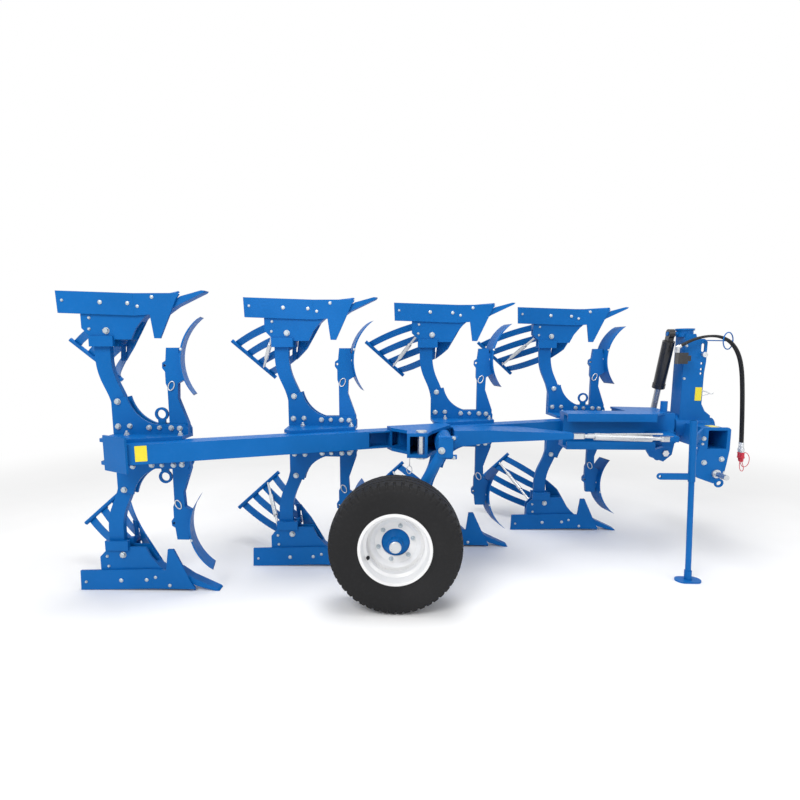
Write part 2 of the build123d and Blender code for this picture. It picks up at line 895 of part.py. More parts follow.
# Headstock with its tower, bearing, cross tube and side plates
plate_near_y = 580
plate_far_y = 2 * axis_y - plate_near_y
side_plate = 25
bearing_rear_x = 3700
bearing_front_x = 3955
bearing_radius = 86
tube_x = 3842
tube_z = 853
tube_size = 150
tube_wall = 11
tube_pocket = 280
tower_rear_x = 3725
tower_front_x = 3880
tower_near_y = 880
tower_far_y = 2 * axis_y - tower_near_y
tower_top_z = 1588
with BuildPart() as headstock:
    with BuildSketch(Plane.YZ.offset(bearing_rear_x - origin_x)):
        with Locations((axis_y - origin_y, beam_height)):
            Circle(bearing_radius)
    extrude(amount=bearing_front_x - bearing_rear_x)
    with Locations(to_plough(tube_x, axis_y, tube_z)):
        Box(tube_size, plate_far_y - plate_near_y, tube_size)
    for side_y in (plate_near_y, plate_far_y - side_plate):
        with BuildSketch(Plane.XZ.offset(origin_y - side_y)):
            with BuildLine():
                outline = Polyline(
                    (3728 - origin_x, 937),
                    (3915 - origin_x, 937),
                    (3929 - origin_x, 924),
                    (3931 - origin_x, 784),
                    (3918 - origin_x, 681),
                    (3905 - origin_x, 600),
                    (3838 - origin_x, 540),
                    (3730 - origin_x, 578),
                    (3697 - origin_x, 629),
                    (3706 - origin_x, 720),
                    (3724 - origin_x, 800),
                    close=True,
                )
            make_face()
        extrude(amount=-side_plate)
    for pocket_y in (plate_near_y + tube_pocket / 2, plate_far_y - tube_pocket / 2):
        with Locations(to_plough(tube_x, pocket_y, tube_z)):
            Box(tube_size - 2 * tube_wall, tube_pocket, tube_size - 2 * tube_wall, mode=Mode.SUBTRACT)
    for side_y in (tower_near_y, tower_far_y - plate_thickness):
        with BuildSketch(Plane.XZ.offset(origin_y - side_y)):
            with BuildLine():
                Polyline(
                    (tower_rear_x - origin_x, beam_height),
                    (tower_rear_x - origin_x, tower_top_z),
                    (3800 - origin_x, tower_top_z),
                    (3812 - origin_x, 1552),
                    (3866 - origin_x, 1552),
                    (tower_front_x + 8 - origin_x, 1530),
                    (tower_front_x + 8 - origin_x, 1380),
                    (tower_front_x - origin_x, 1300),
                    (tower_front_x - origin_x, 1072),
                    (3908 - origin_x, 1018),
                    (3950 - origin_x, 985),
                    (3955 - origin_x, beam_height),
                    close=True,
                )
            make_face()
            for hole_z in (1373, 1330, 1298):
                with Locations((3858 - origin_x, hole_z)):
                    Circle(9.6, mode=Mode.SUBTRACT)
            with Locations((3858 - origin_x, 1488)):
                SlotOverall(64, 26, rotation=90, mode=Mode.SUBTRACT)
        extrude(amount=-plate_thickness)
    with Locations(to_plough(tower_rear_x + 8, axis_y, (tower_top_z + beam_height) / 2)):
        Box(16, tower_far_y - tower_near_y, tower_top_z - beam_height)
    with Locations(to_plough(3752, axis_y, 1592)):
        Cylinder(58, 50)
    with Locations(to_plough(3752, axis_y, 1621)):
        Cylinder(66, 14)
    with BuildSketch(Plane.YZ.offset(3620 - origin_x)):
        with Locations((axis_y - 5 - origin_y, 1590)):
            Circle(16)
    extrude(amount=110)
    with BuildSketch(Plane.YZ.offset(bearing_rear_x - 5 - origin_x)):
        with Locations((axis_y - origin_y, beam_height)):
            Circle(shaft_radius + running_fit)
    extrude(amount=400, mode=Mode.SUBTRACT)

# Lower link pins on the side plates, each with its collar and linch pin ring
link_pin_radius = 18.3
link_collar_radius = 30
link_collar = 14
link_pin_reach = 125
link_pin_x = 3850
link_pin_z = 612
with BuildPart() as link_pins:
    for side in (1, -1):
        outer_y = axis_y + side * (plate_far_y - axis_y)
        inner_y = outer_y - side * (side_plate + 14)
        with BuildSketch(Plane.XZ.offset(origin_y - inner_y)):
            with Locations((link_pin_x - origin_x, link_pin_z)):
                Circle(link_pin_radius)
        extrude(amount=-side * (side_plate + 14 + link_pin_reach))
        with BuildSketch(Plane.XZ.offset(origin_y - outer_y)):
            with Locations((link_pin_x - origin_x, link_pin_z)):
                Circle(link_collar_radius)
        extrude(amount=-side * link_collar)
        with BuildSketch(Plane.XZ.offset(origin_y - inner_y)):
            with Locations((link_pin_x - origin_x, link_pin_z)):
                RegularPolygon(28, 6)
        extrude(amount=-side * 14)
link_pin_set = link_pins.part
save(link_pin_set, "lower_link_pins")

# Top link pin through the tower plates
top_pin_radius = 12.7
top_pin_x = 3858
top_pin_z = 1437
with BuildPart() as top_link_pin:
    with BuildSketch(Plane.XZ.offset(origin_y - tower_near_y + 28)):
        with Locations((top_pin_x - origin_x, top_pin_z)):
            Circle(top_pin_radius)
    extrude(amount=-(tower_far_y - tower_near_y + 56))
    with BuildSketch(Plane.XZ.offset(origin_y - tower_near_y + 28)):
        with Locations((top_pin_x - origin_x, top_pin_z)):
            Circle(19)
    extrude(amount=10)
save(top_link_pin.part, "top_link_pin")

headstock_part = headstock.part - link_pin_set - top_link_pin.part

# Bracket that carries the parking stand beside the headstock
stand_y = 184
stand_foot = to_plough(3495, stand_y, 0)
stand_top = to_plough(3450, stand_y, 1040)
stand_heading = (stand_top - stand_foot).normalized()
stand_radius = 17
sleeve_radius = 21
sleeve_low = 655
arm_x = 3458


def stand_plane(distance):
    return Plane(origin=stand_foot + stand_heading * distance, x_dir=(0, 1, 0), z_dir=stand_heading)


with BuildPart() as stand_bracket:
    with BuildSketch(stand_plane(sleeve_low)):
        Circle(sleeve_radius)
    extrude(amount=(stand_top - stand_foot).length - sleeve_low)
    with BuildSketch(Plane.XY.offset(872)):
        with BuildLine():
            Polyline(
                (arm_x - 6 - origin_x, stand_y - origin_y),
                (arm_x + 8 - origin_x, stand_y - origin_y),
                (3754 - origin_x, 600 - origin_y),
                (3738 - origin_x, 600 - origin_y),
                close=True,
            )
        make_face()
    extrude(amount=62)
    with BuildSketch(Plane.XZ.offset(origin_y - stand_y - 7)):
        with Locations((arm_x - 96 - origin_x, 686)):
            SlotOverall(220, 40)
        with Locations((arm_x - 188 - origin_x, 686)):
            Circle(9, mode=Mode.SUBTRACT)
    extrude(amount=14)
    with BuildSketch(stand_plane(sleeve_low - 5)):
        Circle(stand_radius + running_fit)
    extrude(amount=500, mode=Mode.SUBTRACT)
    add(headstock_part, mode=Mode.SUBTRACT)
save(Part() + stand_bracket.part.solids().sort_by(SortBy.VOLUME)[-1], "stand_bracket")
save(headstock_part, "headstock")

# Parking stand, a tube on an oval foot
with BuildPart() as stand:
    with BuildSketch(Plane.XY):
        with Locations(stand_foot):
            SlotOverall(160, 92)
    extrude(amount=10)
    with BuildSketch(stand_plane(5)):
        Circle(stand_radius)
        Circle(stand_radius - 4, mode=Mode.SUBTRACT)
    extrude(amount=695)
    with BuildSketch(stand_plane(5)):
        Circle(stand_radius + 5)
        Circle(stand_radius, mode=Mode.SUBTRACT)
    extrude(amount=65)
save(stand.part, "stand")

# Turnover cylinder between the tower and the carrier
ram_x = 3646
ram_top = to_plough(ram_x, axis_y - 5, 1590)
ram_foot = to_plough(ram_x, 1150, 930)
ram_heading = (ram_foot - ram_top).normalized()
ram_length = (ram_foot - ram_top).length
barrel_length = 430
barrel_radius = 43
bore_radius = 35
rod_radius = 22.5


def ram_plane(distance):
    return Plane(origin=ram_top + ram_heading * distance, x_dir=(1, 0, 0), z_dir=ram_heading)


with BuildPart() as turnover_barrel:
    with BuildSketch(Plane(origin=ram_top - Vector(20, 0, 0), x_dir=(0, 1, 0), z_dir=(1, 0, 0))):
        Circle(35)
    extrude(amount=40)
    with BuildSketch(ram_plane(26)):
        Rectangle(40, 56)
    extrude(amount=34)
    with BuildSketch(ram_plane(56)):
        Circle(barrel_radius)
    extrude(amount=barrel_length - 56)
    with BuildSketch(ram_plane(barrel_length - 34)):
        Circle(barrel_radius + 4)
    extrude(amount=34)
    with BuildSketch(ram_plane(72)):
        Circle(bore_radius)
    extrude(amount=barrel_length - 72 - 30, mode=Mode.SUBTRACT)
    with BuildSketch(ram_plane(barrel_length - 40)):
        Circle(rod_radius + running_fit)
    extrude(amount=60, mode=Mode.SUBTRACT)
    with BuildSketch(Plane(origin=ram_top - Vector(40, 0, 0), x_dir=(0, 1, 0), z_dir=(1, 0, 0))):
        Circle(16 + running_fit)
    extrude(amount=80, mode=Mode.SUBTRACT)
save(turnover_barrel.part, "turnover_barrel")

rod_length = 412
crank_pin_start = ram_foot - Vector(ram_x - carrier_front_x - 0.3, 0, 0)
with BuildPart() as turnover_rod:
    with BuildSketch(ram_plane(ram_length - rod_length)):
        Circle(rod_radius)
    extrude(amount=rod_length)
    with BuildSketch(ram_plane(ram_length - rod_length)):
        Circle(bore_radius - running_fit)
    extrude(amount=28)
    with BuildSketch(Plane(origin=ram_foot - Vector(18, 0, 0), x_dir=(0, 1, 0), z_dir=(1, 0, 0))):
        Circle(30)
    extrude(amount=36)
    with BuildSketch(Plane(origin=ram_foot - Vector(30, 0, 0), x_dir=(0, 1, 0), z_dir=(1, 0, 0))):
        Circle(22)
    extrude(amount=54)
    with BuildSketch(Plane(origin=crank_pin_start, x_dir=(0, 1, 0), z_dir=(1, 0, 0))):
        Circle(15)
    extrude(amount=60)
save(turnover_rod.part, "turnover_rod")

# Valve block on its bracket and the two hose fittings
valve_y = 805
hose_gap = 22
with BuildPart() as valve_block:
    with Locations(to_plough(3666, valve_y - 3, 1411)):
        Box(68, 54, 80)
    with Locations(to_plough(3717, 840, 1411)):
        Box(34, 80, 40)
    add(headstock_part, mode=Mode.SUBTRACT)
save(valve_block.part, "valve_block")

hose_radius = 9
hose_places = (valve_y - hose_gap / 2, valve_y + hose_gap / 2)
hose_path = (
    (3652, 1499),
    (3712, 1532),
    (3778, 1558),
    (3858, 1572),
    (3938, 1566),
    (4014, 1526),
    (4070, 1446),
    (4102, 1340),
    (4120, 1200),
    (4134, 1040),
    (4144, 900),
    (4150, 797),
)


def hose_point(index, y):
    x, z = hose_path[index]
    return to_plough(x, y, z)


def bend_radii(points):
    radii = []
    for before, corner, after in zip(points, points[1:], points[2:]):
        shorter_run = min((corner - before).length, (after - corner).length)
        turn = (corner - before).get_angle(after - corner)
        radii.append(0.45 * shorter_run / tan(radians(turn / 2)))
    return radii


# Hoses that hang from the valve block over the guide
for name, y in zip(("near_hose", "far_hose"), hose_places):
    hose_points = [hose_point(index, y) for index in range(len(hose_path))]
    with BuildPart() as hose:
        with BuildLine():
            hose_line = FilletPolyline(*hose_points, radius=bend_radii(hose_points))
        with BuildSketch(Plane(origin=hose_line @ 0, z_dir=hose_line % 0)):
            Circle(hose_radius)
        sweep()
    save(hose.part, name)

# Fittings at the valve end and couplings with dust caps at the free end
fitting_radius = 12.5
hose_start_heading = (hose_point(1, 0) - hose_point(0, 0)).normalized()
hose_end_heading = (hose_point(-1, 0) - hose_point(-2, 0)).normalized()
with BuildPart() as valve_fittings:
    for y in hose_places:
        start = hose_point(0, y)
        with BuildSketch(Plane(origin=start, z_dir=-hose_start_heading)):
            Circle(fitting_radius)
        extrude(amount=22)
        elbow = start - hose_start_heading * 22
        with Locations(elbow):
            Sphere(fitting_radius)
        with BuildSketch(Plane.XY.offset(1451)):
            with Locations((elbow.X, elbow.Y)):
                Circle(fitting_radius)
        extrude(amount=elbow.Z - 1451)
save(valve_fittings.part, "valve_fittings")

coupling_steps = ((12.5, 44), (16, 20), (14, 30), (17, 26))
with BuildPart() as hose_couplings:
    for y in hose_places:
        reach = 0
        for radius, length in coupling_steps:
            with BuildSketch(Plane(origin=hose_point(-1, y) + hose_end_heading * reach, z_dir=hose_end_heading)):
                Circle(radius)
            extrude(amount=length)
            reach += length
save(hose_couplings.part, "hose_couplings")

with BuildPart() as dust_caps:
    for y in hose_places:
        for radius, start, length in ((19, 0, 40), (12, 40, 16)):
            cap_origin = hose_point(-1, y) + hose_end_heading * (reach + start)
            with BuildSketch(Plane(origin=cap_origin, z_dir=hose_end_heading)):
                Circle(radius)
            extrude(amount=length)
save(dust_caps.part, "dust_caps")

# Wire guide that carries the hoses in front of the tower
guide_radius = 60
guide_wire = 4
guide_place = to_plough(3988, valve_y, 1536)
guide_side = Vector(0.866, 0.5, 0)
with BuildPart() as hose_guide:
    with Locations(Plane(origin=guide_place, x_dir=guide_side, z_dir=(-0.5, 0.866, 0))):
        Torus(guide_radius, guide_wire)
    guide_start = guide_place + guide_side * guide_radius
    guide_end = to_plough(3846, 884, 1541)
    with BuildSketch(Plane(origin=guide_start, z_dir=guide_end - guide_start)):
        Circle(guide_wire)
    extrude(amount=(guide_end - guide_start).length)
    add(headstock_part, mode=Mode.SUBTRACT)
save(hose_guide.part, "hose_guide")
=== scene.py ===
import bpy
import bmesh
import json
from math import cos, sin, pi, radians
from mathutils import Matrix, Vector
from mathutils.bvhtree import BVHTree


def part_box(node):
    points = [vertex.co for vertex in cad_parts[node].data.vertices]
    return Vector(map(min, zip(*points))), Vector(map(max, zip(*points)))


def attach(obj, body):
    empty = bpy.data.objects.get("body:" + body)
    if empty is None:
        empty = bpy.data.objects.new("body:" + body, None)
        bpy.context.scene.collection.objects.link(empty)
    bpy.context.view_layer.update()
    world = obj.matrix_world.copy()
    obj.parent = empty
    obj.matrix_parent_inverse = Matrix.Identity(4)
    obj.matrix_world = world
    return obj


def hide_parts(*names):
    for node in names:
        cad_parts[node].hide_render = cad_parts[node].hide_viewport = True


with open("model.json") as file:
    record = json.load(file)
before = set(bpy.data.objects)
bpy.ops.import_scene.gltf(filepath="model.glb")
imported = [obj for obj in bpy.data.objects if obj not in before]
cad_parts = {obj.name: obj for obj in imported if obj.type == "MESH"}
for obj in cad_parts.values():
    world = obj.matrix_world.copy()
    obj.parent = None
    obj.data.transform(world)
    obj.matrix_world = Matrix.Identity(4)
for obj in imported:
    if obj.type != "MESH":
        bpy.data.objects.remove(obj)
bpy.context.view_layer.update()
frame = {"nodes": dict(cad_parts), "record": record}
nodes = frame["nodes"]
scene = bpy.context.scene

# Places are in metres, measured from the ground under the rear body's bolt.
# The plough's own origin, which the frame uses, lies at this place.
origin = Vector((1.724, 0.633, 0.0))

# Camera at the photograph's place
picture_side = 800.0
sensor_side = 36.0
focal_px, centre_u, centre_v = 507.4, 394.0, 422.0
yaw, pitch, roll = -0.033, 0.139, 0.001
forward = Vector((sin(yaw) * cos(pitch), cos(yaw) * cos(pitch), -sin(pitch)))
right = Vector((cos(yaw), -sin(yaw), 0.0))
up = right.cross(forward)
right, up = right * cos(roll) + up * sin(roll), up * cos(roll) - right * sin(roll)
camera_data = bpy.data.cameras.new("camera")
camera_data.sensor_width = sensor_side
camera_data.lens = focal_px * sensor_side / picture_side
camera_data.shift_x = (picture_side / 2 - centre_u) / picture_side
camera_data.shift_y = (centre_v - picture_side / 2) / picture_side
camera_data.clip_end = 100.0
camera = bpy.data.objects.new("camera", camera_data)
scene.collection.objects.link(camera)
camera_place = Vector((1.709, -2.967, 1.461)) - origin
turn = Matrix((right, up, -forward)).transposed()
camera.matrix_world = Matrix.Translation(camera_place) @ turn.to_4x4()
scene.camera = camera


def tube_line(name, places, sides, steps, closed=False):
    """A round tube along one smooth line. Each place is a point and the tube's radius there."""
    curve = bpy.data.curves.new(name, "CURVE")
    curve.dimensions = "3D"
    curve.bevel_depth = 1.0
    curve.bevel_resolution = sides
    curve.resolution_u = steps
    curve.use_fill_caps = True
    spline = curve.splines.new("NURBS")
    spline.points.add(len(places) - 1)
    for point, (place, radius) in zip(spline.points, places):
        point.co = (*place, 1.0)
        point.radius = radius
    spline.use_cyclic_u = closed
    spline.use_endpoint_u = not closed
    spline.order_u = 3
    piece = bpy.data.objects.new(name, curve)
    scene.collection.objects.link(piece)
    return piece


# Hoses from the valve block over the guide, each on one smooth line of x and z
hose_radius = 0.009
hose_path = (
    (3.652, 1.499),
    (3.712, 1.532),
    (3.778, 1.558),
    (3.858, 1.572),
    (3.938, 1.566),
    (4.014, 1.526),
    (4.070, 1.446),
    (4.102, 1.340),
    (4.120, 1.200),
    (4.134, 1.040),
    (4.144, 0.900),
    (4.150, 0.797),
)
hoses = []
for name, side_y in (("near", 0.794), ("far", 0.816)):
    places = [((x - origin.x, side_y - origin.y, z), hose_radius) for x, z in hose_path]
    hose = tube_line(name + "_hose_tube", places, 5, 14)
    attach(hose, "headstock_body")
    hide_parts(name + "_hose")
    hoses.append((name, side_y, hose))


def tree(name):
    material = bpy.data.materials.new(name)
    material.use_nodes = True
    material.node_tree.nodes.clear()
    return material, material.node_tree


def add_node(nt, kind, **values):
    node = nt.nodes.new(kind)
    for key, value in values.items():
        setattr(node, key, value)
    return node


def link(nt, a, a_out, b, b_in):
    nt.links.new(a.outputs[a_out], b.inputs[b_in])


def noise_node(nt, coord, scale, detail=4.0, rough=0.55, stretch=None):
    noise = add_node(nt, "ShaderNodeTexNoise")
    noise.inputs["Scale"].default_value = scale
    noise.inputs["Detail"].default_value = detail
    noise.inputs["Roughness"].default_value = rough
    if stretch:
        mapping = add_node(nt, "ShaderNodeMapping")
        mapping.inputs["Scale"].default_value = stretch
        link(nt, coord, "Object", mapping, "Vector")
        link(nt, mapping, "Vector", noise, "Vector")
    else:
        link(nt, coord, "Object", noise, "Vector")
    return noise


def ramp(nt, source, out, stops):
    """A colour ramp over the given stops, each a position and a colour."""
    ramp_node = add_node(nt, "ShaderNodeValToRGB")
    link(nt, source, out, ramp_node, "Fac")
    elements = ramp_node.color_ramp.elements
    while len(elements) < len(stops):
        elements.new(0.5)
    for element, (place, colour) in zip(elements, stops):
        element.position = place
        element.color = (*colour, 1.0)
    return ramp_node


def grey(value):
    return (value, value, value)


# The colour sockets of a mix node, which share their names with its other sockets
mix_first, mix_second, mix_result = 6, 7, 2


def mix_colour(nt, factor, factor_out, first, first_out, colour):
    mix = add_node(nt, "ShaderNodeMix", data_type="RGBA")
    link(nt, factor, factor_out, mix, 0)
    link(nt, first, first_out, mix, mix_first)
    mix.inputs[mix_second].default_value = (*colour, 1.0)
    return mix


def finish_material(name, base, rough, worn, spread, wear, dusty, grain, grain_scale, edge_radius,
                    metal=0.0, specular=0.5, coat=0.0, stretch=None):
    """A finish with a drifting tone, a thin film of dust, worn edges and a fine grain.

    base and worn are colours, rough is the least and greatest roughness, and spread, wear and dusty
    say how far the tone drifts, the edges are worn and the dust covers. grain is the bump's height,
    grain_scale its fineness, edge_radius the rounding that the wear follows, and stretch scales the
    noise along each axis.
    """
    material, nt = tree(name)
    out = add_node(nt, "ShaderNodeOutputMaterial")
    shader = add_node(nt, "ShaderNodeBsdfPrincipled")
    link(nt, shader, "BSDF", out, "Surface")
    coord = add_node(nt, "ShaderNodeTexCoord")
    geometry = add_node(nt, "ShaderNodeNewGeometry")
    bevel = add_node(nt, "ShaderNodeBevel", samples=2)
    bevel.inputs["Radius"].default_value = edge_radius

    # Slow change of tone, finer cloudiness on top
    broad = noise_node(nt, coord, 1.7, 3.0, 0.5)
    dark = [c * (1 - spread) for c in base]
    light = [min(1.0, c * (1 + spread) + 0.004) for c in base]
    colour = ramp(nt, broad, "Fac", [(0.36, dark), (0.5, base), (0.66, light)])
    cloud = noise_node(nt, coord, 38.0, 5.0, 0.6, stretch)
    film = ramp(nt, cloud, "Fac", [(0.5, grey(0.0)), (0.78, grey(dusty))])
    dust = [min(1.0, c * 1.2 + 0.035) for c in base]
    with_film = mix_colour(nt, film, "Color", colour, "Color", dust)

    # Edges found by comparing the rounded normal with the true one, chipped by noise
    dot = add_node(nt, "ShaderNodeVectorMath", operation="DOT_PRODUCT")
    link(nt, bevel, "Normal", dot, 0)
    link(nt, geometry, "Normal", dot, 1)
    edge = add_node(nt, "ShaderNodeMapRange")
    edge.inputs["From Min"].default_value = 0.985
    edge.inputs["From Max"].default_value = 0.90
    link(nt, dot, "Value", edge, "Value")
    chip = noise_node(nt, coord, 62.0, 5.0, 0.68)
    chips = ramp(nt, chip, "Fac", [(0.5, grey(0.0)), (0.6, grey(wear))])
    worn_edge = add_node(nt, "ShaderNodeMath", operation="MULTIPLY")
    link(nt, edge, "Result", worn_edge, 0)
    link(nt, chips, "Color", worn_edge, 1)
    with_wear = mix_colour(nt, worn_edge, "Value", with_film, mix_result, worn)
    link(nt, with_wear, mix_result, shader, "Base Color")

    # Roughness follows the film, bump is orange peel or casting grain
    rough_map = add_node(nt, "ShaderNodeMapRange")
    link(nt, cloud, "Fac", rough_map, "Value")
    rough_map.inputs["From Min"].default_value = 0.35
    rough_map.inputs["From Max"].default_value = 0.7
    rough_map.inputs["To Min"].default_value = rough[0]
    rough_map.inputs["To Max"].default_value = rough[1]
    link(nt, rough_map, "Result", shader, "Roughness")
    shader.inputs["Metallic"].default_value = metal
    shader.inputs["Specular IOR Level"].default_value = specular
    shader.inputs["Coat Weight"].default_value = coat
    shader.inputs["Coat Roughness"].default_value = 0.18
    peel = noise_node(nt, coord, grain_scale, 3.0, 0.55, stretch)
    bump = add_node(nt, "ShaderNodeBump")
    bump.inputs["Strength"].default_value = 0.4
    bump.inputs["Distance"].default_value = grain
    link(nt, peel, "Fac", bump, "Height")
    link(nt, bevel, "Normal", bump, "Normal")
    link(nt, bump, "Normal", shader, "Normal")
    return material


blue = finish_material(
    "blue_paint_finish", base=(0.002, 0.125, 0.415), rough=(0.36, 0.52), worn=(0.05, 0.2, 0.5),
    spread=0.1, wear=0.5, dusty=0.1, grain=0.0005, grain_scale=150.0, edge_radius=0.003,
    specular=0.12, coat=0.03,
)
white = finish_material(
    "white_paint_finish", base=(0.83, 0.83, 0.83), rough=(0.3, 0.45), worn=(0.5, 0.49, 0.47),
    spread=0.03, wear=0.3, dusty=0.12, grain=0.0004, grain_scale=120.0, edge_radius=0.002,
    specular=0.4, coat=0.2,
)
black = finish_material(
    "black_paint_finish", base=(0.012, 0.012, 0.014), rough=(0.3, 0.46), worn=(0.12, 0.12, 0.13),
    spread=0.1, wear=0.4, dusty=0.3, grain=0.0004, grain_scale=150.0, edge_radius=0.002,
    coat=0.2,
)
zinc = finish_material(
    "zinc_finish", base=(0.62, 0.64, 0.66), rough=(0.24, 0.42), worn=(0.36, 0.34, 0.31),
    spread=0.1, wear=0.4, dusty=0.3, grain=0.0004, grain_scale=260.0, edge_radius=0.0012,
    metal=0.9,
)
galvanised = finish_material(
    "galvanised_bolt_finish", base=(0.5, 0.56, 0.6), rough=(0.3, 0.5), worn=(0.3, 0.3, 0.3),
    spread=0.12, wear=0.5, dusty=0.3, grain=0.0003, grain_scale=300.0, edge_radius=0.001,
    metal=0.7,
)
chrome = finish_material(
    "chrome_finish", base=(0.42, 0.43, 0.45), rough=(0.22, 0.3), worn=(0.3, 0.3, 0.31),
    spread=0.05, wear=0.2, dusty=0.1, grain=0.0001, grain_scale=500.0, edge_radius=0.001,
    metal=0.6,
)
rubber = finish_material(
    "tyre_finish", base=(0.0095, 0.0095, 0.0105), rough=(0.6, 0.8), worn=(0.04, 0.039, 0.037),
    spread=0.1, wear=0.6, dusty=0.25, grain=0.0007, grain_scale=190.0, edge_radius=0.002,
    specular=0.25,
)
hose_skin = finish_material(
    "hose_finish", base=(0.007, 0.0075, 0.009), rough=(0.42, 0.6), worn=(0.04, 0.04, 0.04),
    spread=0.12, wear=0.3, dusty=0.3, grain=0.0008, grain_scale=420.0, edge_radius=0.001,
    specular=0.3, stretch=(1.0, 1.0, 0.25),
)
red = finish_material(
    "red_cap_finish", base=(0.56, 0.012, 0.04), rough=(0.3, 0.45), worn=(0.6, 0.1, 0.1),
    spread=0.1, wear=0.3, dusty=0.15, grain=0.0003, grain_scale=220.0, edge_radius=0.001,
    coat=0.1,
)
yellow = finish_material(
    "yellow_plate_finish", base=(0.80, 0.68, 0.03), rough=(0.35, 0.5), worn=(0.55, 0.5, 0.2),
    spread=0.05, wear=0.4, dusty=0.12, grain=0.0002, grain_scale=180.0, edge_radius=0.001,
    specular=0.4, coat=0.15,
)
valve_rubber = finish_material(
    "valve_rubber_finish", base=(0.01, 0.011, 0.013), rough=(0.6, 0.8), worn=(0.02, 0.02, 0.02),
    spread=0.1, wear=0.1, dusty=0.1, grain=0.0002, grain_scale=200.0, edge_radius=0.001,
    specular=0.2,
)
by_slot = {
    "blue_paint": blue,
    "white_paint": white,
    "black_paint": black,
    "zinc": zinc,
    "chrome_rod": chrome,
    "tyre_rubber": rubber,
    "hose_rubber": hose_skin,
    "red_plastic": red,
}
for part in frame["record"]["subparts"]:
    data = nodes[part["node"]].data
    data.materials.clear()
    data.materials.append(by_slot[part["material_slot"]])

# Headings of the lines that find surfaces, and of faces turned to the camera's side
to_back, to_front, downward = (0, 1, 0), (0, -1, 0), (0, 0, -1)
surfaces = {}


def surface_of(name):
    if name not in surfaces:
        surfaces[name] = BVHTree.FromObject(nodes[name], bpy.context.evaluated_depsgraph_get())
    return surfaces[name]


def seat(names, place, heading, reach):
    """The first surface of the named nodes that a line from this place meets, as place and normal."""
    best = None
    start = Vector(place) - origin
    for name in names:
        hit, normal, index, distance = surface_of(name).ray_cast(start, Vector(heading), reach)
        if hit is not None and (best is None or distance < best[2]):
            best = (hit, normal, distance)
    return best


def facing(place, normal, spin=0.0):
    turned = Vector(normal).to_track_quat("Z", "Y").to_matrix().to_4x4()
    return Matrix.Translation(place) @ turned @ Matrix.Rotation(spin, 4, "Z")


def stack(bm, matrix, rings, count, smooth=False):
    """Closed rings of the given radius and height joined into a skin, capped at both ends."""
    angles = [2 * pi * k / count for k in range(count)]
    previous = None
    for radius, height in rings:
        points = [Vector((radius * cos(a), radius * sin(a), height)) for a in angles]
        ring = [bm.verts.new(matrix @ point) for point in points]
        if previous:
            for k in range(count):
                after = (k + 1) % count
                face = bm.faces.new((previous[k], previous[after], ring[after], ring[k]))
                face.smooth = smooth
        else:
            bm.faces.new(list(reversed(ring)))
        previous = ring
    bm.faces.new(previous)


bolt_sink = 0.0008
washer_edge, washer_height = 0.0022, 0.003


def hex_bolt(bm, place, normal, size, spin=0.0, washer=True, stud=0.0):
    """A hexagon head or nut, on a washer about twice its size wide, with a stud end of that length."""
    matrix = facing(place, normal, spin)
    base = -bolt_sink
    if washer:
        wide, narrow = size * 0.98, size * 0.93
        stack(bm, matrix, [(wide, base), (wide, washer_edge), (narrow, washer_height)], 24)
        base = washer_height
    top = base + size * 0.62
    low_edge, high_edge = base + size * 0.06, top - size * 0.1
    corner_radius, stud_radius = size * 0.80, size * 0.42
    head = [(size * 0.70, base), (corner_radius, low_edge), (corner_radius, high_edge), (size * 0.66, top)]
    stack(bm, matrix, head, 6)
    if stud:
        end = [(stud_radius, top), (stud_radius, top + stud * 0.7), (size * 0.34, top + stud)]
        stack(bm, matrix, end, 14)


def dome_bolt(bm, place, normal, size):
    """A round head of the given radius on a short rim."""
    rim = size * 0.12
    rings = [(size, -bolt_sink), (size, rim)]
    rings += [(size * cos(a), rim + size * 0.42 * sin(a)) for a in (0.35, 0.7, 1.0, 1.3)]
    stack(bm, facing(place, normal), rings, 24, True)


def make_piece(bm, name, material, body, hides=()):
    """The mesh as a named piece on a body, in place of the nodes that it hides."""
    mesh = bpy.data.meshes.new(name)
    bmesh.ops.recalc_face_normals(bm, faces=bm.faces)
    bm.to_mesh(mesh)
    bm.free()
    mesh.materials.append(material)
    piece = bpy.data.objects.new(name, mesh)
    scene.collection.objects.link(piece)
    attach(piece, body)
    if hides:
        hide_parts(*hides)
    return piece


def wire(name, points, radius, material, body, closed=False):
    places = [(Vector(point) - origin, radius) for point in points]
    piece = tube_line(name, places, 4, 6, closed)
    piece.data.materials.append(material)
    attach(piece, body)
    return piece


# Four stations step along the beam, each with a body above and one below it
station_count = 4
step_x, step_y = 0.951, 0.389
beam_z = 0.9


def at_station(station, side, x, y, z):
    """A place from the leg's plane at the station's bolt, z measured from the beam to its side."""
    return step_x * station + x, step_y * station + y, beam_z + side * z


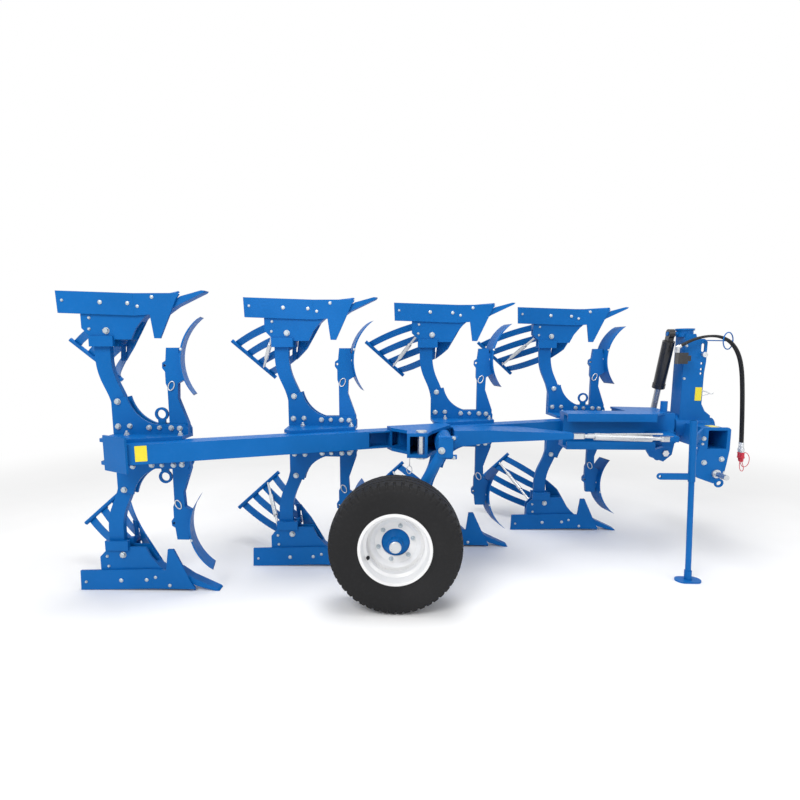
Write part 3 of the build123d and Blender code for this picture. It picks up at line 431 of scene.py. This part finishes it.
# Bolts of one body: nodes that they sit on, x, z, size and kind of head
bolt_places = (
    (("landsides",), -0.278, 0.846, 0.0085, "hex"),
    (("landsides",), -0.059, 0.834, 0.013, "dome"),
    (("landsides",), 0.100, 0.828, 0.012, "dome"),
    (("knife_plates",), 0.242, 0.862, 0.011, "dome"),
    (("knife_plates", "landsides"), 0.156, 0.811, 0.010, "dome"),
    (("frogs",), -0.043, 0.675, 0.020, "hex"),
    (("frogs",), -0.137, 0.748, 0.009, "hex"),
    (("frogs",), -0.142, 0.685, 0.009, "hex"),
    (("heads",), -0.007, 0.266, 0.019, "hex"),
    (("heads",), -0.014, 0.119, 0.018, "hex"),
    (("heads",), 0.056, 0.122, 0.016, "hex"),
    (("heads",), 0.171, 0.112, 0.017, "hex"),
    (("heads",), 0.233, 0.112, 0.014, "hex"),
    (("heads",), 0.303, 0.111, 0.017, "hex"),
    (("heads",), 0.354, 0.109, 0.017, "hex"),
    (("heads",), 0.317, 0.258, 0.019, "hex"),
    (("heads",), 0.314, 0.161, 0.013, "hex"),
)
flange_bolts_x, flange_bolts_y, above_flange = (0.056, 0.373), -0.10, 0.16
flange_bolt_size = 0.017
blade_bolt_places = ((0.352, 0.43), (0.372, 0.50), (0.395, 0.57))
blade_bolt_size = 0.008
# Where the lines that look for a surface start in y, how far they reach, and how square it must be
before_leg, behind_leg = -0.30, 0.10
bolt_reach, nut_reach, flange_reach, skimmer_reach = 0.30, 0.19, 0.2, 0.4
square_enough = 0.7
front_bolts = bmesh.new()
back_nuts = bmesh.new()
blade_bolts = bmesh.new()
for station in range(station_count):
    for side in (1, -1):
        for number, (names, x, z, size, kind) in enumerate(bolt_places):
            hit = seat(names, at_station(station, side, x, before_leg, z), to_back, bolt_reach)
            if hit is None or hit[1].y > -square_enough:
                continue
            if kind == "hex":
                hex_bolt(front_bolts, hit[0], hit[1], size, 0.35 * number + 0.6 * station)
            else:
                dome_bolt(front_bolts, hit[0], hit[1], size)
            back = seat(names, at_station(station, side, x, behind_leg, z), to_front, nut_reach)
            through = names[0] in ("heads", "landsides")
            if through and back is not None and back[1].y > square_enough:
                hex_bolt(back_nuts, back[0], back[1], size * 0.95, 0.5 * number, stud=0.006)
        for x in flange_bolts_x:
            start = at_station(station, side, x, flange_bolts_y, above_flange)
            hit = seat(("heads",), start, (0, 0, -side), flange_reach)
            if hit is not None and abs(hit[1].z) > square_enough:
                hex_bolt(front_bolts, hit[0], hit[1], flange_bolt_size, 0.3 * station, stud=0.012)
        for x, z in blade_bolt_places:
            start = at_station(station, side, x, before_leg, z)
            hit = seat(("skimmer_blades",), start, to_back, skimmer_reach)
            if hit is not None:
                dome_bolt(blade_bolts, hit[0], hit[1], blade_bolt_size)
make_piece(front_bolts, "frame_bolts", galvanised, "plough_frame")
make_piece(back_nuts, "frame_nuts", galvanised, "plough_frame")
make_piece(blade_bolts, "blade_bolts", galvanised, "plough_frame")

# Slat fastenings, small heads on the front of each slat where it lies on a bar
slat_bolts = bmesh.new()
slat_surface = surface_of("slats")
slat_bolt_gap, slat_bolt_size = 0.045, 0.0085
bar_reach, slat_reach = 0.012, 0.05
slat_front = Vector((0.3, 1.0, 0.0)).normalized()
for bars in ("slat_front_bars", "slat_rear_bars"):
    taken = []
    for polygon in nodes[bars].data.polygons:
        place, normal, index, distance = slat_surface.find_nearest(Vector(polygon.center), bar_reach)
        if place is None or any((place - other).length < slat_bolt_gap for other in taken):
            continue
        if abs(normal.y) < 0.2 and abs(normal.z) < 0.2:
            continue
        taken.append(place)
        if normal.dot(slat_front) < 0:
            through = slat_surface.ray_cast(place - normal * 0.03, normal, slat_reach)
            if through[0] is None:
                continue
            place, normal = through[0], -normal
        dome_bolt(slat_bolts, place, normal, slat_bolt_size)
make_piece(slat_bolts, "slat_bolts", galvanised, "plough_frame")

# Oval locking rings that hang leaning on the skimmer posts
post_ring_x, post_ring_z = 0.312, 0.358
ring_across, ring_along, ring_wire = 0.017, 0.029, 0.0035
ring_lean = 24
for station in range(station_count):
    for side, level in ((1, "upper"), (-1, "lower")):
        start = at_station(station, side, post_ring_x, before_leg, post_ring_z)
        hit = seat(("skimmer_posts",), start, to_back, skimmer_reach)
        if hit is None:
            continue
        centre = hit[0] + origin + Vector((0, -ring_wire, 0))
        lean = radians(-ring_lean * side)
        points = []
        for k in range(12):
            a = 2 * pi * k / 12
            across, along = ring_across * cos(a), ring_along * sin(a)
            x = across * cos(lean) - along * sin(lean)
            z = across * sin(lean) + along * cos(lean)
            points.append(centre + Vector((x, 0.001 * sin(2 * a), z)))
        name = f"post_ring_{station + 1}_{level}"
        wire(name, points, ring_wire, zinc, "plough_frame", True)

# Couplings and dust caps at the hoses' free ends, as rings of radius and height from the end
crimp_rings = [(0.0125, 0.0)]
for k in range(7):
    groove = 0.005 * k
    crimp_rings += [(0.0125, 0.003 + groove), (0.0112, 0.0045 + groove)]
    crimp_rings += [(0.0112, 0.0065 + groove), (0.0125, 0.008 + groove)]
crimp_rings.append((0.0125, 0.044))
nut_rings = [(0.0145, 0.0442), (0.0165, 0.0455), (0.0165, 0.0625), (0.0145, 0.0640)]
collar_rings = [(0.0135, 0.0641), (0.0150, 0.0650), (0.0150, 0.0740), (0.0140, 0.0748)]
cap_rings = [
    (0.0165, 0.0750), (0.0180, 0.0762), (0.0180, 0.0830), (0.0165, 0.0840),
    (0.0165, 0.1060), (0.0185, 0.1070), (0.0185, 0.1180), (0.0165, 0.1195),
]
nose_rings = [(0.0120, 0.1196), (0.0115, 0.1330), (0.0105, 0.1420), (0.0070, 0.1470)]
end_point, before_end = [Vector((x, 0.0, z)) for x, z in (hose_path[-1], hose_path[-2])]
end_heading = (end_point - before_end).normalized()
for name, side_y, hose in hoses:
    hose.data.materials.append(hose_skin)
    matrix = facing(end_point + Vector((0.0, side_y, 0.0)) - origin, end_heading)
    coupling = bmesh.new()
    stack(coupling, matrix, crimp_rings, 28)
    stack(coupling, matrix, nut_rings, 6)
    stack(coupling, matrix, collar_rings, 32)
    coupling_piece = make_piece(
        coupling, name + "_coupling", zinc, "headstock_body", ("hose_couplings",))
    cap = bmesh.new()
    stack(cap, matrix, cap_rings, 32)
    stack(cap, matrix, nose_rings, 24, True)
    cap_piece = make_piece(
        cap, name + "_dust_cap", red, "headstock_body", ("dust_caps",))

# Thin loops that keep the caps on the hoses
loop_diameter = 0.0048
loop_paths = (
    ((4.152, 0.783, 0.715), (4.138, 0.779, 0.680), (4.132, 0.777, 0.630), (4.142, 0.777, 0.590),
     (4.160, 0.779, 0.582), (4.172, 0.784, 0.600), (4.168, 0.790, 0.630), (4.160, 0.794, 0.652)),
    ((4.166, 0.816, 0.715), (4.192, 0.818, 0.722), (4.222, 0.819, 0.700), (4.232, 0.820, 0.660),
     (4.222, 0.820, 0.620), (4.195, 0.819, 0.604), (4.172, 0.818, 0.618), (4.160, 0.816, 0.652)),
)
for name, points in zip(("near", "far"), loop_paths):
    loop = wire(name + "_cap_loop", points, loop_diameter / 2, red, "headstock_body")

# Tyre with grooved tread, notched shoulders and plain side walls
tyre_low, tyre_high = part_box("tyre")
wheel_centre = (Vector(tyre_low) + Vector(tyre_high)) / 2
half_width = (tyre_high[1] - tyre_low[1]) / 2
outer_radius = (tyre_high[2] - tyre_low[2]) / 2
# The side wall from the bead outward: share of the half width, radius
side_wall = [
    (0.70, 0.196), (0.80, 0.199), (0.885, 0.208), (0.905, 0.214), (0.895, 0.220), (0.935, 0.236),
    (0.975, 0.262), (0.998, 0.288), (1.0, 0.300), (0.990, 0.318), (0.975, 0.330), (0.972, 0.334),
    (0.962, 0.338), (0.935, 0.352),
]
tread_columns = 53
half_tread = 0.895
shoulder_drop = 0.013
columns = [(share * half_width, radius) for share, radius in side_wall]
for k in range(tread_columns):
    share = half_tread * (1 - 2 * k / (tread_columns - 1))
    columns.append((share * half_width, outer_radius - shoulder_drop * abs(share / half_tread) ** 3.2))
columns += [(-across, radius) for across, radius in reversed(columns[: len(side_wall)])]
zigzag_count, zigzag_segments, zigzag_swing = 26, 14, 0.075
segments = zigzag_count * zigzag_segments
groove_places, groove_half_width, groove_depth = (-0.42, 0.0, 0.42), 0.034, 0.009
notch_from, notch_segments, notch_depth = 0.60, 7, 0.008
tread_from_radius = 0.348


def tread_depth(k, across, radius):
    """How deep the tread is cut at segment k: notches at the shoulders and three zigzag grooves."""
    if radius <= tread_from_radius:
        return 0.0
    depth = 0.0
    share = across / half_width
    notch_shift = 4 if across > 0 else 0
    if abs(share) > notch_from and (k + notch_shift) % notch_segments < 2:
        depth = notch_depth
    zigzag = abs((k % zigzag_segments) / (zigzag_segments / 2) - 1.0) - 0.5
    for groove in groove_places:
        if abs(share - groove - zigzag_swing * zigzag) < groove_half_width:
            depth = groove_depth
    return depth


tyre = bmesh.new()
rows = []
for k in range(segments):
    angle = 2 * pi * k / segments
    row = []
    for across, radius in columns:
        cut = radius - tread_depth(k, across, radius)
        row.append(tyre.verts.new(wheel_centre + Vector((cut * cos(angle), across, cut * sin(angle)))))
    rows.append(row)
for k in range(segments):
    here, after = rows[k], rows[(k + 1) % segments]
    for j in range(len(columns) - 1):
        face = tyre.faces.new((here[j], here[j + 1], after[j + 1], after[j]))
        face.smooth = j < len(side_wall) - 2 or j > len(columns) - len(side_wall)
    tyre.faces.new((here[-1], here[0], after[0], after[-1]))
make_piece(tyre, "tyre_with_tread", rubber, "wheel", ("tyre",))

# Wheel nuts, hub cap and valve
hub = wheel_centre + origin
nut_circle, cap_circle, valve_circle = 0.102, 0.0275, 0.168
nut_count, cap_bolt_count = 6, 5


def on_wheel(names, radius, angle, before, reach):
    """The first surface behind a place at this radius and angle, so far before the hub's middle."""
    place = (hub.x + radius * cos(angle), hub.y - before, hub.z + radius * sin(angle))
    return seat(names, place, to_back, reach)


wheel_nuts = bmesh.new()
for k in range(nut_count):
    a = radians(15 + 360 / nut_count * k)
    hit = on_wheel(("wheel_rim", "wheel_hub"), nut_circle, a, 0.4, 0.6)
    if hit:
        hex_bolt(wheel_nuts, hit[0], to_front, 0.0135, a, stud=0.008)
make_piece(wheel_nuts, "wheel_nuts", galvanised, "wheel")
hub_cap = bmesh.new()
hit = on_wheel(("wheel_hub",), 0.0, 0.0, 0.5, 0.7)
if hit:
    cap = facing(hit[0], to_front)
    rings = [(0.034, -0.004), (0.034, 0.002), (0.0325, 0.0042), (0.0225, 0.0048), (0.0215, 0.0036)]
    stack(hub_cap, cap, rings, 40, True)
    for k in range(cap_bolt_count):
        a = 2 * pi * k / cap_bolt_count + 0.3
        place = cap @ Vector((cap_circle * cos(a), cap_circle * sin(a), 0.004))
        hex_bolt(hub_cap, place, to_front, 0.004, a, washer=False)
make_piece(hub_cap, "hub_cap", zinc, "wheel")
rim_valve = bmesh.new()
hit = on_wheel(("wheel_rim",), valve_circle, radians(204), 0.4, 0.6)
if hit:
    seat_rings = [(0.0115, -0.001), (0.0115, 0.0012), (0.009, 0.002)]
    stem_rings = [(0.005, 0.0), (0.005, 0.016), (0.0042, 0.018), (0.0042, 0.026), (0.003, 0.027)]
    stack(rim_valve, facing(hit[0], hit[1]), seat_rings, 22)
    stack(rim_valve, facing(hit[0], to_front), stem_rings, 14, True)
make_piece(rim_valve, "rim_valve", valve_rubber, "wheel")

plate_sink, plate_lift = 0.0006, 0.0015
corner_round = 0.004


def plate(name, corners, normal, body):
    """A thin blank yellow plate with rounded corners on the four given points."""
    bm = bmesh.new()
    outline = []
    count = len(corners)
    for k in range(count):
        corner, before, after = Vector(corners[k]), Vector(corners[k - 1]), Vector(corners[(k + 1) % count])
        a = corner + (before - corner).normalized() * corner_round
        b = corner + (after - corner).normalized() * corner_round
        for s in (0.0, 0.25, 0.5, 0.75, 1.0):
            outline.append((1 - s) ** 2 * a + 2 * s * (1 - s) * corner + s * s * b)
    lift = Vector(normal).normalized()
    low = [bm.verts.new(p - origin - lift * plate_sink) for p in outline]
    high = [bm.verts.new(p - origin + lift * plate_lift) for p in outline]
    bm.faces.new(high)
    bm.faces.new(list(reversed(low)))
    for k in range(len(outline)):
        after = (k + 1) % len(outline)
        bm.faces.new((low[k], low[after], high[after], high[k]))
    make_piece(bm, name, yellow, body)


def rectangle(low_a, high_a, low_b, high_b):
    return (low_a, low_b), (high_a, low_b), (high_a, high_b), (low_a, high_b)


# Plates on the beam, on the tower and on the headstock's tube, each between two lines either way
corners = []
for x, z in rectangle(0.214, 0.270, 0.862, 0.949):
    hit = seat(("rear_beam",), (x, -1.2, z), to_back, 2.0)
    if hit:
        corners.append(hit[0] + origin)
        face_normal = hit[1]
if len(corners) == 4:
    plate("beam_plate", corners, face_normal, "plough_frame")
tower_front_y = 0.88
corners = [Vector((x, tower_front_y, z)) for x, z in rectangle(3.826, 3.874, 1.096, 1.196)]
plate("tower_plate", corners, to_front, "headstock_body")
hit = seat(("headstock",), (3.842, 0.70, 1.2), downward, 0.5)
if hit:
    corners = [Vector((x, y, hit[0].z)) for x, y in rectangle(3.84, 3.90, 0.66, 0.75)]
    plate("tube_plate", corners, (0, 0, 1), "headstock_body")

# Bolts on the headstock's side plate and tower as x, z and size, each turned by its x times a spin
head_bolts = bmesh.new()
side_bolts = [(3.762, 0.690, 0.019), (3.880, 0.716, 0.019), (3.748, 0.860, 0.016), (3.742, 0.822, 0.009)]
tower_bolts = [(3.738, z, 0.010) for z in (1.50, 1.38, 1.26)]
for bolts, reach, spin in ((side_bolts, 0.6, 7), (tower_bolts, 0.9, 3)):
    for x, z, size in bolts:
        hit = seat(("headstock",), (x, 0.3, z), to_back, reach)
        if hit:
            hex_bolt(head_bolts, hit[0], hit[1], size, x * spin)
make_piece(head_bolts, "headstock_bolts", galvanised, "headstock_body")

# Bolts on the wheel arm's pivot
arm_bolts = bmesh.new()
for x, z, size in ((1.891, 0.886, 0.021), (1.962, 0.842, 0.012), (1.962, 0.958, 0.012)):
    hit = seat(("wheel_arm", "wheel_bracket"), (x, -0.5, z), to_back, 0.9)
    if hit:
        hex_bolt(arm_bolts, hit[0], to_front, size, x, stud=0.008)
make_piece(arm_bolts, "wheel_arm_bolts", galvanised, "wheel_arm_body")


def ring_line(centre, across, high, count, depth):
    """Points of an upright oval ring whose top and bottom lie apart by the depth in y."""
    angles = [2 * pi * k / count for k in range(count)]
    x, y, z = centre
    return [(x + across * cos(a), y + depth * sin(a), z + high * sin(a)) for a in angles]


# Locking ring and its chain on the wheel bracket
ring_points = ring_line((1.703, 0.026, 0.752), 0.017, 0.024, 10, 0.004)
wire("locking_ring", ring_points, 0.0028, zinc, "plough_frame", True)
chain_points = [(1.706, 0.028, 0.826), (1.704, 0.027, 0.806), (1.705, 0.026, 0.790), (1.703, 0.026, 0.774)]
wire("locking_chain", chain_points, 0.0026, zinc, "plough_frame")

# Linch pins with rings that hang at the lower link pins
headstock_y = 0.95
link_ring_y = 0.442
for side, label in ((1, "near"), (-1, "far")):
    ring_y = headstock_y - side * link_ring_y
    ring_points = ring_line((3.832, ring_y, 0.562), 0.024, 0.024, 12, -side * 0.004)
    pin_points = [(x, ring_y, z) for x, z in ((3.838, 0.584), (3.850, 0.612), (3.858, 0.634), (3.862, 0.646))]
    wire(label + "_linch_ring", ring_points, 0.0085, blue, "headstock_body", True)
    wire(label + "_linch_pin", pin_points, 0.0055, zinc, "headstock_body")

# Hook for the hoses on the tower's front edge
hook_points = [
    (3.872, 0.884, 1.172),
    (3.905, 0.876, 1.166),
    (3.930, 0.872, 1.150),
    (3.952, 0.872, 1.146),
    (3.954, 0.872, 1.158),
]
hook_pin_points = [(3.878, 0.884, 1.134), (3.900, 0.876, 1.138), (3.926, 0.872, 1.150)]
wire("hose_hook", hook_points, 0.004, zinc, "headstock_body")
wire("hook_pin", hook_pin_points, 0.004, zinc, "headstock_body")

# Slim rod over the turnbuckle
turnbuckle_low, turnbuckle_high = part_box("turnbuckle")
rod_y = (turnbuckle_low[1] + turnbuckle_high[1]) / 2 + origin.y
rod_points = [(x, rod_y, z) for x, z in ((2.900, 0.906), (3.040, 0.909), (3.200, 0.911), (3.395, 0.912))]
wire("upper_rod", rod_points, 0.006, zinc, "plough_frame")

# Pale floor that fades into the white background
floor_half = 60.0
floor_corners = [(-floor_half, -floor_half, 0), (floor_half, -floor_half, 0),
                 (floor_half, floor_half, 0), (-floor_half, floor_half, 0)]
floor_mesh = bpy.data.meshes.new("floor")
floor_mesh.from_pydata(floor_corners, [], [(0, 1, 2, 3)])
floor_piece = bpy.data.objects.new("floor", floor_mesh)
scene.collection.objects.link(floor_piece)
floor_material, nt = tree("floor_finish")
out = add_node(nt, "ShaderNodeOutputMaterial")
matte = add_node(nt, "ShaderNodeBsdfDiffuse")
glow = add_node(nt, "ShaderNodeEmission")
glow.inputs["Color"].default_value = (1, 1, 1, 1)
glow.inputs["Strength"].default_value = 1.0
coord = add_node(nt, "ShaderNodeTexCoord")
grain = noise_node(nt, coord, 2.0)
tint = ramp(nt, grain, "Fac", [(0.3, grey(0.93)), (0.7, grey(0.95))])
link(nt, tint, "Color", matte, "Color")
far = add_node(nt, "ShaderNodeVectorMath", operation="LENGTH")
link(nt, coord, "Object", far, 0)
fade = add_node(nt, "ShaderNodeMapRange", interpolation_type="SMOOTHSTEP")
fade.inputs["From Min"].default_value = 3.2
fade.inputs["From Max"].default_value = 6.5
link(nt, far, "Value", fade, "Value")
blend = add_node(nt, "ShaderNodeMixShader")
link(nt, fade, "Result", blend, 0)
link(nt, matte, "BSDF", blend, 1)
link(nt, glow, "Emission", blend, 2)
link(nt, blend, "Shader", out, "Surface")
floor_mesh.materials.append(floor_material)

# Soft light from all round, seen as white by the camera, in reflections and through glass
world = bpy.data.worlds.new("world")
scene.world = world
world.use_nodes = True
nt = world.node_tree
nt.nodes.clear()
world_out = add_node(nt, "ShaderNodeOutputWorld")
soft = add_node(nt, "ShaderNodeBackground")
soft.inputs["Color"].default_value = (1, 1, 1, 1)
soft.inputs["Strength"].default_value = 0.56
clean = add_node(nt, "ShaderNodeBackground")
clean.inputs["Color"].default_value = (1, 1, 1, 1)
clean.inputs["Strength"].default_value = 1.0
path = add_node(nt, "ShaderNodeLightPath")
choose = add_node(nt, "ShaderNodeMixShader")
seen = add_node(nt, "ShaderNodeMath", operation="MAXIMUM")
seen_through = add_node(nt, "ShaderNodeMath", operation="MAXIMUM")
link(nt, path, "Is Camera Ray", seen, 0)
link(nt, path, "Is Glossy Ray", seen, 1)
link(nt, seen, "Value", seen_through, 0)
link(nt, path, "Is Transmission Ray", seen_through, 1)
link(nt, seen_through, "Value", choose, 0)
link(nt, soft, "Background", choose, 1)
link(nt, clean, "Background", choose, 2)
link(nt, choose, "Shader", world_out, "Surface")

# Lamps turned to the middle of the plough
lamp_target = Vector((0, 0, 0.8))


def area_light(name, place, power, side):
    data = bpy.data.lights.new(name, "AREA")
    data.energy = power
    data.size = side
    light = bpy.data.objects.new(name, data)
    light.location = place
    light.rotation_euler = (lamp_target - Vector(place)).to_track_quat("-Z", "Y").to_euler()
    scene.collection.objects.link(light)


area_light("key", (-2.5, -5.0, 5.0), 205.0, 3.0)
area_light("top", (0.3, -0.3, 6.5), 195.0, 3.2)
area_light("side", (5.5, -3.5, 3.5), 60.0, 3.0)

scene.view_settings.view_transform = "Standard"
